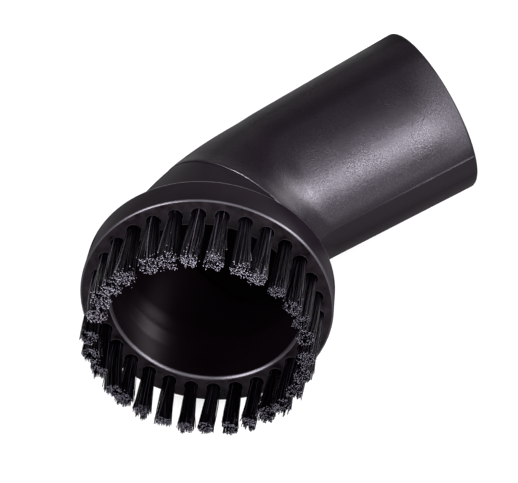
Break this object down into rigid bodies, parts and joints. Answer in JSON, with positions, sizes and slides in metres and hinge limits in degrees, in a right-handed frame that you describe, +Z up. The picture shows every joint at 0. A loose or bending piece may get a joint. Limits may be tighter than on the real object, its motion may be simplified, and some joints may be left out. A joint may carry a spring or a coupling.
{
  "type": "vacuum dusting brush",
  "caption": "Round dusting brush for a vacuum cleaner: a hollow bent elbow with a wand socket at one end and a ring of soft bristle tufts at the other.",
  "frame": {"origin": "on the surface the brush lies on, under the middle of its outline", "axes": "+Z up; the brush lies on its side as it comes to rest, its bristles pointing to -Y and a little up, its tube leaving towards +X and +Y"},
  "size_m": [0.089, 0.1006, 0.0589],
  "materials": {
    "body_plastic": "black moulded plastic, satin on the collar and ring, finely grained on the tube",
    "bristle": "black bristles with pale cut tips"
  },
  "bodies": {
    "root": {"brush_body": "body_plastic", "tuft_01": "bristle", "tuft_02": "bristle", "tuft_03": "bristle", "tuft_04": "bristle", "tuft_05": "bristle", "tuft_06": "bristle", "tuft_07": "bristle", "tuft_08": "bristle", "tuft_09": "bristle", "tuft_10": "bristle", "tuft_11": "bristle", "tuft_12": "bristle", "tuft_13": "bristle", "tuft_14": "bristle", "tuft_15": "bristle", "tuft_16": "bristle", "tuft_17": "bristle", "tuft_18": "bristle", "tuft_19": "bristle", "tuft_20": "bristle", "tuft_21": "bristle", "tuft_22": "bristle", "tuft_23": "bristle", "tuft_24": "bristle", "tuft_25": "bristle", "tuft_26": "bristle", "tuft_27": "bristle", "tuft_28": "bristle", "tuft_29": "bristle", "tuft_30": "bristle"}
  },
  "joints": []
}
